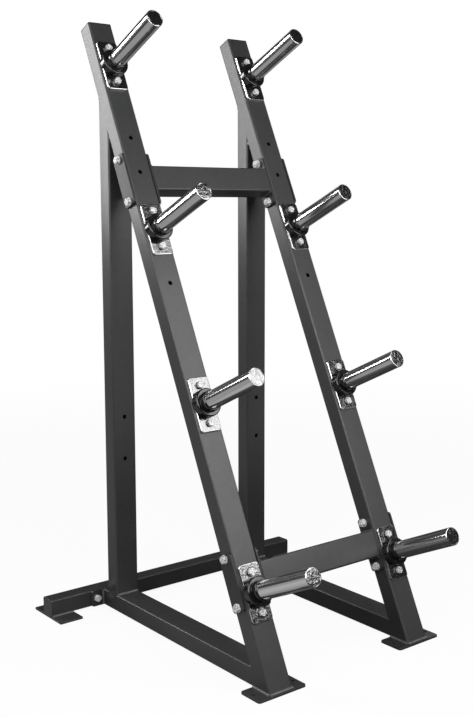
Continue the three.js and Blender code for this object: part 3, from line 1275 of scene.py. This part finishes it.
@dataclass
class SideFrame:
    """One side frame: leaning tube, rear tube and floor rail, with all that is fixed to them."""

    side: Side
    tube: TubeStock = TubeStock()
    slope_length: float = 1915 * MM
    post_heights: tuple[float, ...] = (1778 * MM, 1270 * MM, 762 * MM, 254 * MM)
    member_heights: dict[str, float] = field(
        default_factory=lambda: {"upper": 1430 * MM, "lower": 291.5 * MM}
    )
    spare_heights: tuple[float, ...] = (1446.15 * MM, 1551.85 * MM, 1112 * MM)
    rear_spares: tuple[float, ...] = (476 * MM, 603 * MM)
    bolt_hole: float = 6.5 * MM
    foot: PlateStock = PlateStock(
        158.8 * MM, 76.2 * MM, 6 * MM, corner=8 * MM, edge=0.8 * MM, hole=10 * MM, hole_spacing=130.8 * MM
    )
    flange: PlateStock = PlateStock(158.8 * MM, 50.8 * MM, 6.35 * MM, corner=9 * MM, edge=0.8 * MM)
    rear_bolt_spacing: float = 120.6 * MM
    rear_hex: HexStock = HexStock(across=18 * MM, washer=10.5 * MM)
    cap_height: float = 3.5 * MM
    cap_edge: float = 1.0 * MM
    cap_skirt: float = 18 * MM
    rear_foot_corner: float = 3 * MM
    foot_spare: float = 20 * MM
    front_bit: float = 30 * MM
    cross_bit: float = 120 * MM
    bit_sides: int = 24
    flush: float = 4.9 * MM
    pad_inset: float = 3 * MM
    weld: WeldBead = WeldBead(radius=4.6 * MM)

    def __post_init__(self) -> None:
        """Finds the frame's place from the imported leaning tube."""
        low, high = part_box(f"leaning_upright_{self.side.word}")
        self.centre = (low.x + high.x) / 2
        self.slope = Slope(Vector((self.centre, low.y, low.z)))

    def node(self, stem: str) -> str:
        """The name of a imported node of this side."""
        return f"{stem}_{self.side.word}"

    def build(self, station: PostStation, joint: MemberJoint) -> None:
        """Models the frame and everything on it.

        Args:
            station: the post station, with its masters made.
            joint: the member joint, with its masters made.
        """
        self.leaning_tube(station, joint)
        self.top_cap()
        self.rear_tube()
        self.floor_rail()
        self.feet()
        self.rear_flange()
        for number, height in enumerate(self.post_heights, 1):
            station.build(self.side, number, self.slope, height)
        for level, height in self.member_heights.items():
            joint.build(self.side, level, self.slope, height, self.tube)
        self.weld.follow(self.node("weld_beads"), self.seams())

    def bore(self, y: float, z: float) -> Workpiece:
        """A drill through the front wall of a tube."""
        return Workpiece.bar("drill", self.bolt_hole, self.front_bit, self.bit_sides, (0, y, z), Axis.Y)

    def leaning_tube(self, station: PostStation, joint: MemberJoint) -> None:
        """Models the leaning tube, cut level at its foot and drilled for all its bolts.

        Args:
            station: the post station that is bolted to its front.
            joint: the member joint that is bolted through it.
        """
        piece = self.tube.length(self.node("leaning_tube"), -self.foot_spare, self.slope_length)
        piece.slice(Vector((0, 0, 0)), self.slope.level)
        spacing, middle = station.bolt_spacing / 2, self.tube.depth / 2
        fronts = [h + s for h in self.post_heights for s in (-spacing, spacing)]
        tools = [self.bore(0, z) for z in (*fronts, *self.spare_heights)]
        bit = ("drill", self.bolt_hole, self.cross_bit, self.bit_sides)
        for height in self.member_heights.values():
            for way in (-1, 1):
                spot = (0, middle, height + way * joint.plate.hole_spacing / 2)
                tools.append(Workpiece.bar(*bit, spot, Axis.X))
        piece.drill(tools).place(self.slope.matrix).smooth()
        piece.fit(PAINT, Slot.PAINT, self.node("leaning_upright"))

    def top_cap(self) -> None:
        """Models the plug in the top of the leaning tube, with its skirt inside."""
        tube, height = self.tube, self.cap_height
        size = (tube.width, tube.depth, height)
        piece = Workpiece.block(self.node("top_cap"), size, (0, tube.depth / 2, height / 2))
        piece.pick_edges(lambda a, b: abs(a.z - b.z) > height / 2).bevel(tube.corner, tube.steps)
        piece.pick_edges(lambda a, b: min(a.z, b.z) > height / 2).bevel(self.cap_edge, 3)
        piece.pick_faces(lambda centre, normal: normal.z < -ALONG)
        piece.inset(tube.wall + SEAT).extrude((0, 0, -self.cap_skirt))
        spot = self.slope.matrix @ Matrix.Translation((0, 0, self.slope_length + SEAT))
        piece.place(spot).smooth().fit(PLASTIC, Slot.PLASTIC, self.node("top_plug"))

    def behind(self, sunk: float = 0) -> tuple[Vector, Vector]:
        """The plane behind the leaning tube, as a point and the direction to the rear.

        Args:
            sunk: how far the plane lies in front of the tube's back, as flush welds fill its corners.

        Returns:
            The point and the direction.
        """
        return self.slope.point(0, self.tube.depth - sunk, 0), self.slope.rear

    def rear_tube(self) -> None:
        """Models the rear tube, mitred to the back of the leaning tube."""
        low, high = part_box(self.node("rear_upright"))
        piece = self.tube.length(self.node("rear_tube"), low.z - self.flush, high.z + self.tube.depth)
        piece.place(Matrix.Translation((self.centre, low.y, 0))).slice(*self.behind(self.flush))
        bores = [self.bore(low.y, z) for z in self.rear_spares]
        for bore in bores:
            bore.place(Matrix.Translation((self.centre, 0, 0)))
        piece.drill(bores).smooth().fit(PAINT, Slot.PAINT, self.node("rear_upright"))

    def floor_rail(self) -> None:
        """Models the floor rail, mitred to the leaning tube in front."""
        low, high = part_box(self.node("base_rail"))
        piece = self.tube.length(self.node("floor_rail"), low.y - self.tube.depth, high.y)
        turn = Matrix.Rotation(-math.pi / 2, 4, "X")
        piece.place(Matrix.Translation((self.centre, 0, high.z)) @ turn).slice(*self.behind(self.flush))
        piece.smooth().fit(PAINT, Slot.PAINT, self.node("base_rail"))

    def feet(self) -> None:
        """Models the front and the rear foot plate."""
        rear = replace(self.foot, corner=self.rear_foot_corner)
        for word, stock, turn in (("front", self.foot, 0.0), ("rear", rear, math.pi / 2)):
            node = self.node(f"{word}_foot_plate")
            low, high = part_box(node)
            middle = (low + high) / 2
            spot = Matrix.Translation((middle.x, middle.y, low.z)) @ Matrix.Rotation(turn, 4, "Z")
            piece = stock.blank(self.node(f"{word}_foot")).place(spot).smooth()
            piece.fit(PAINT, Slot.PAINT, node)

    def rear_flange(self) -> None:
        """Models the flange behind the floor rail and its two bolts."""
        rail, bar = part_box(self.node("base_rail"))[1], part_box("rear_crossbar")
        height = (bar[0].z + bar[1].z) / 2
        spot = Matrix.Translation((self.centre, rail.y + SEAT + self.flange.thickness, height))
        upright = Matrix.Rotation(math.pi / 2, 4, "X")
        plate = self.flange.blank(self.node("rear_flange_plate")).place(spot @ upright).smooth()
        plate.fit(PAINT, Slot.PAINT, self.node("rear_flange"))
        grip = self.flange.thickness + self.tube.depth + 2 * SEAT
        master = self.rear_hex.through("rear_bolt_master", grip).smooth()
        front = Matrix.Translation((self.centre, rail.y + SEAT, height))
        for word, x in (("a", -self.rear_bolt_spacing / 2), ("b", self.rear_bolt_spacing / 2)):
            place = front @ Matrix.Translation((x, 0, 0)) @ upright
            bolt = master.copy(f"rear_bolt_{self.side.word}_{word}").place(place)
            bolt.fit(ZINC, Slot.ZINC)
        master.discard()

    def seams(self) -> Iterator[tuple[Vector, Vector]]:
        """Finds the seams of this side frame that are welded.

        Returns:
            The end points of each seam.
        """
        half, inset = self.tube.width / 2, self.weld.inset
        left, right = self.centre - half, self.centre + half
        inner = (left + inset, right - inset)
        foot_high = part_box(self.node("front_foot_plate"))[1]
        front, ground = self.slope.foot.y, self.slope.foot.z
        for x in (left, right):
            yield Vector((x, front, ground)), Vector((x, foot_high.y - inset, ground))
        yield Vector((left, front, ground)), Vector((right, front, ground))
        point, rear = self.behind()
        rail_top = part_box(self.node("base_rail"))[1]
        upright_low, upright_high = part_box(self.node("rear_upright"))
        heel = point.y + (rail_top.z - point.z) * -rear.z / rear.y
        for y in (heel, upright_low.y, upright_high.y):
            yield Vector((inner[0], y, rail_top.z)), Vector((inner[1], y, rail_top.z))
        for y in (upright_low.y, upright_high.y):
            z = point.z - (y - point.y) * rear.y / rear.z
            yield Vector((inner[0], y, z)), Vector((inner[1], y, z))
        low, high = ground + inset, rail_top.z - inset
        for x in (left, right):
            yield Vector((x, rail_top.y, low)), Vector((x, rail_top.y, high))
        pad_low, pad_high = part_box(self.node("rear_foot_plate"))
        bar_low, bar_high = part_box("rear_crossbar")
        start, end = pad_low.x + self.pad_inset, pad_high.x - self.pad_inset
        for y in (bar_low.y, bar_high.y):
            yield Vector((start, y, ground)), Vector((end, y, ground))


@dataclass
class CrossParts:
    """The cross members between the side frames, and the crossbar behind them."""

    tube: TubeStock = TubeStock(width=76.2 * MM, depth=50.8 * MM)
    square: TubeStock = TubeStock(width=50.8 * MM, depth=50.8 * MM)
    cap: PlateStock = PlateStock(50.8 * MM, 50.8 * MM, 3 * MM, corner=5 * MM, edge=1.6 * MM)
    weld: WeldBead = WeldBead(radius=2.8 * MM)

    def build(self, slope: Slope, heights: dict[str, float]) -> None:
        """Models the cross parts.

        Args:
            slope: the frame of one leaning tube.
            heights: how far up the slope each member is.
        """
        middle = Slope(Vector((0, slope.foot.y, slope.foot.z)), slope.lean)
        for level, height in heights.items():
            self.member(level, middle, height)
        self.crossbar()

    def member(self, level: str, slope: Slope, height: float) -> None:
        """Models one cross member and the beads at its ends.

        Args:
            level: upper or lower.
            slope: the leaning frame in the middle of the rack.
            height: how far up the slope it is.
        """
        low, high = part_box(f"cross_member_{level}")
        piece = self.tube.length(f"cross_tube_{level}", low.x, high.x)
        turn = Matrix.Translation((0, 0, height)) @ Matrix.Rotation(math.pi / 2, 4, "Y")
        piece.place(slope.matrix @ turn).smooth()
        piece.fit(PAINT, Slot.PAINT, f"cross_member_{level}")
        half = self.tube.width / 2
        near, far = self.weld.inset, self.tube.depth - self.weld.inset
        seams = [
            (slope.point(x, near, height + z), slope.point(x, far, height + z))
            for x in (low.x, high.x)
            for z in (-half, half)
        ]
        self.weld.follow(f"cross_welds_{level}", seams)

    def crossbar(self) -> None:
        """Models the crossbar and its end caps."""
        low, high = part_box("rear_crossbar")
        piece = self.square.length("crossbar_tube", low.x, high.x)
        turn = Matrix.Rotation(math.pi / 2, 4, "Y")
        middle = (low.z + high.z) / 2
        piece.place(Matrix.Translation((0, low.y, middle)) @ turn).smooth()
        piece.fit(PAINT, Slot.PAINT, "rear_crossbar")
        for side in Side:
            cap_low, cap_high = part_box(f"crossbar_end_plate_{side.word}")
            inner = cap_high.x if side is Side.LEFT else cap_low.x
            spot = Matrix.Translation((inner, (cap_low.y + cap_high.y) / 2, middle))
            facing = spot @ Matrix.Rotation(side.value * math.pi / 2, 4, "Y")
            cap = self.cap.blank(f"crossbar_cap_{side.word}").place(facing).smooth()
            cap.fit(PAINT, Slot.PAINT, f"crossbar_end_plate_{side.word}")


@dataclass(frozen=True)
class SoftBox:
    """One softbox of the studio: a rectangle of light that faces a direction."""

    name: str
    place: Triple
    facing: Triple
    width: float
    height: float
    radiance: float
    roll: float = 0

    def build(self) -> None:
        """Hangs the softbox."""
        lamp = bpy.data.lights.new(self.name, "AREA")
        lamp.shape = "RECTANGLE"
        lamp.size, lamp.size_y = self.width, self.height
        lamp.energy = self.radiance * math.pi * self.width * self.height
        obj = bpy.data.objects.new(self.name, lamp)
        bpy.context.scene.collection.objects.link(obj)
        turn = Vector(self.facing).to_track_quat("-Z", "Y").to_matrix().to_4x4()
        roll = Matrix.Rotation(math.radians(self.roll), 4, "Z")
        obj.matrix_world = Matrix.Translation(self.place) @ turn @ roll


@dataclass(frozen=True)
class FloorGlow:
    """One lit stretch of floor, which the metal reflects."""

    centre: Triple
    inner: float
    outer: float
    radiance: float


class StudioNodes(Nodes):
    """A node tree of the studio, with what its floor, cards and background share."""

    def seen(self) -> bpy.types.NodeSocket:
        """Tells the rays from the camera, and those that metal or glass send on, from others.

        Returns:
            1 for those rays and 0 for the rest.
        """
        rays = self.node("LightPath").outputs
        total = rays["Is Camera Ray"]
        for name in ("Is Glossy Ray", "Is Transmission Ray"):
            total = self.math("ADD", total, rays[name], clamp=True)
        return total

    def ramp(
        self, value: bpy.types.NodeSocket, reach: tuple[float, float], low: float, high: float
    ) -> bpy.types.NodeSocket:
        """Eases from one level to another while a value goes from one end of a reach to the other.

        Args:
            value: the value.
            reach: the two ends.
            low: the level at the first end.
            high: the level at the second end.

        Returns:
            The level.
        """
        ends = {"From_Min": reach[0], "From_Max": reach[1]}
        made = self.node("MapRange", Value=value, **ends, To_Min=low, To_Max=high)
        made.interpolation_type = "SMOOTHSTEP"
        return made.outputs["Result"]

    def span(self, point: Triple) -> bpy.types.NodeSocket:
        """Measures the distance from a point.

        Args:
            point: the point.

        Returns:
            The distance.
        """
        made = self.node("VectorMath", Vector=self.node("TexCoord").outputs["Object"])
        made.operation = "DISTANCE"
        made.inputs[1].default_value = point
        return made.outputs["Value"]


@dataclass(frozen=True)
class Studio:
    """Pale floor, white background, softboxes, dark cards round the metal, and the camera."""

    floor_size: float = 60
    floor_colour: float = 1.0
    floor_bounce: float = 0.15
    floor_lift: float = 0.93
    floor_fade: tuple[float, float] = (1.6, 5.0)
    fill: float = 0.22
    room: Triple = (16, 16, 6)
    room_glow: float = 0.03
    glow_edge: tuple[float, float] = (-0.25, -0.5)
    glows: tuple[FloorGlow, ...] = (
        FloorGlow((-1.6, 1.3, 0), 0.9, 2.9, 0.25),
        FloorGlow((1.7, -2.3, 0), 0.4, 1.7, 0.7),
        FloorGlow((0.9, 3.8, 0), 1.0, 3.0, 0.45),
        FloorGlow((4.0, 0.4, 0), 1.0, 3.0, 0.45),
        FloorGlow((-0.62, -0.14, 0), 0.15, 0.75, 0.2),
    )
    floor_drop: float = 0.2 * MM
    camera_place: Triple = (-1.91573, -2.29655, 1.2258)
    yaw: float = 38.521
    pitch: float = -8.270
    roll: float = -0.099
    focal_pixels: float = 1058.32
    photo_pixels: float = 717
    sensor: float = 36
    boxes: tuple[SoftBox, ...] = (
        SoftBox("softbox_front", (1.062, -2.065, 2.033), (-0.423, 0.780, -0.462), 1.6, 1.74, 3.3),
        SoftBox("softbox_front_left", (-0.9, -2.7, 2.6), (0.7, 2.6, -1.8), 1.4, 1.2, 5.0),
        SoftBox("softbox_left", (-2.3, -0.9, 2.3), (1, 0.3, -0.35), 1.8, 2.5, 3.0),
        SoftBox("softbox_rear", (-1.9, 3.0, 2.04), (0, -1, 0), 0.42, 1.95, 16.0, roll=17),
        SoftBox("softbox_rear_right", (1.9, 2.9, 2.7), (-1.5, -2.6, -1.8), 1.6, 1.4, 0.35),
        SoftBox("softbox_right", (3.2, 1.2, 2.0), (-3, -1.2, -1.0), 1.6, 1.6, 0.8),
    )

    def build(self) -> None:
        """Builds the whole studio."""
        scene = bpy.context.scene
        scene.view_settings.view_transform = "Standard"
        self.floor()
        self.cards()
        self.world()
        for box in self.boxes:
            box.build()
        self.camera()

    @staticmethod
    def cover(obj: bpy.types.Object) -> StudioNodes:
        """Gives the floor or the cards a bare material of their own name.

        Args:
            obj: the object.

        Returns:
            The material's node tree.
        """
        material = bpy.data.materials.new(obj.name)
        material.use_nodes = True
        material.node_tree.nodes.clear()
        obj.data.materials.append(material)
        return StudioNodes(material.node_tree)

    def floor(self) -> None:
        """Lays the pale floor, lifted towards white where it is seen but still shaded."""
        bpy.ops.mesh.primitive_plane_add(size=self.floor_size, location=(0, 0, 0))
        plane = bpy.context.active_object
        plane.name = "studio_floor"
        plane.data.transform(Matrix.Translation((0, 0, -self.floor_drop)))
        nodes = self.cover(plane)
        shade = nodes.node(
            "MapRange", Value=nodes.seen(), To_Min=self.floor_bounce, To_Max=self.floor_colour
        )
        matt = nodes.node("BsdfDiffuse", Color=shade.outputs["Result"])
        lift = nodes.ramp(nodes.span((0, 0, 0)), self.floor_fade, self.floor_lift, 1)
        mix = nodes.node("MixShader", Fac=nodes.math("MULTIPLY", nodes.seen(), lift))
        for target, surface in zip(mix.inputs[1:], (matt, nodes.node("Emission"))):
            nodes.feed(target, surface.outputs[0])
        nodes.node("OutputMaterial", Surface=mix.outputs[0])

    def cards(self) -> None:
        """Stands dark cards all round, with lit stretches of floor, for reflections alone."""
        bpy.ops.mesh.primitive_cube_add(size=1, location=(0, 0, 0))
        room = bpy.context.active_object
        room.name = "studio_cards"
        lift = Matrix.Translation((0, 0, self.room[2] / 2 + self.floor_drop))
        room.data.transform(lift @ Matrix.Diagonal((*self.room, 1)))
        for ray in ("camera", "diffuse", "shadow", "transmission", "volume_scatter"):
            setattr(room, f"visible_{ray}", False)
        nodes = self.cover(room)
        split = nodes.node("SeparateXYZ", Vector=nodes.node("TexCoord").outputs["Object"])
        beside = nodes.ramp(split.outputs["X"], self.glow_edge, 0, 1)
        first, *others = (
            nodes.ramp(nodes.span(glow.centre), (glow.inner, glow.outer), glow.radiance, 0)
            for glow in self.glows
        )
        total = nodes.math("MULTIPLY_ADD", first, beside, self.room_glow)
        for part in others:
            total = nodes.math("ADD", part, total)
        light = nodes.node("Emission", Strength=total)
        nodes.node("OutputMaterial", Surface=light.outputs[0])

    def world(self) -> None:
        """Makes the background white where it is seen, and a soft fill elsewhere."""
        world = bpy.data.worlds.new("studio_world")
        world.use_nodes = True
        nodes = StudioNodes(world.node_tree)
        level = nodes.node("MapRange", Value=nodes.seen(), To_Min=self.fill)
        ground = nodes.tree.nodes["Background"]
        nodes.feed(ground.inputs["Strength"], level.outputs["Result"])
        nodes.feed(ground.inputs["Color"], (1, 1, 1, 1))
        bpy.context.scene.world = world

    def camera(self) -> None:
        """Sets the camera where the photograph was taken from."""
        yaw, pitch, roll = (math.radians(a) for a in (self.yaw, self.pitch, self.roll))
        ahead = Vector(
            (math.sin(yaw) * math.cos(pitch), math.cos(yaw) * math.cos(pitch), math.sin(pitch))
        )
        right = Vector((math.cos(yaw), -math.sin(yaw), 0))
        above = right.cross(ahead)
        across = math.cos(roll) * right + math.sin(roll) * above
        above = -math.sin(roll) * right + math.cos(roll) * above
        turn = Matrix((across, above, -ahead)).transposed()
        data = bpy.data.cameras.new("camera")
        data.sensor_width = self.sensor
        data.lens = self.focal_pixels / self.photo_pixels * self.sensor
        camera = bpy.data.objects.new("camera", data)
        bpy.context.scene.collection.objects.link(camera)
        camera.matrix_world = Matrix.Translation(self.camera_place) @ turn.to_4x4()
        bpy.context.scene.camera = camera


def main() -> None:
    """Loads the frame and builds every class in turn."""
    logging.basicConfig(level=logging.INFO, format="%(name)s %(message)s")
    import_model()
    station, joint = PostStation(), MemberJoint()
    station.make_masters()
    joint.make_masters(TubeStock())
    frames = [SideFrame(side) for side in Side]
    for frame in frames:
        frame.build(station, joint)
    for master in (*station.masters.values(), *joint.masters.values()):
        master.discard()
    CrossParts().build(frames[0].slope, frames[0].member_heights)
    Studio().build()


if __name__ == "__main__":
    main()
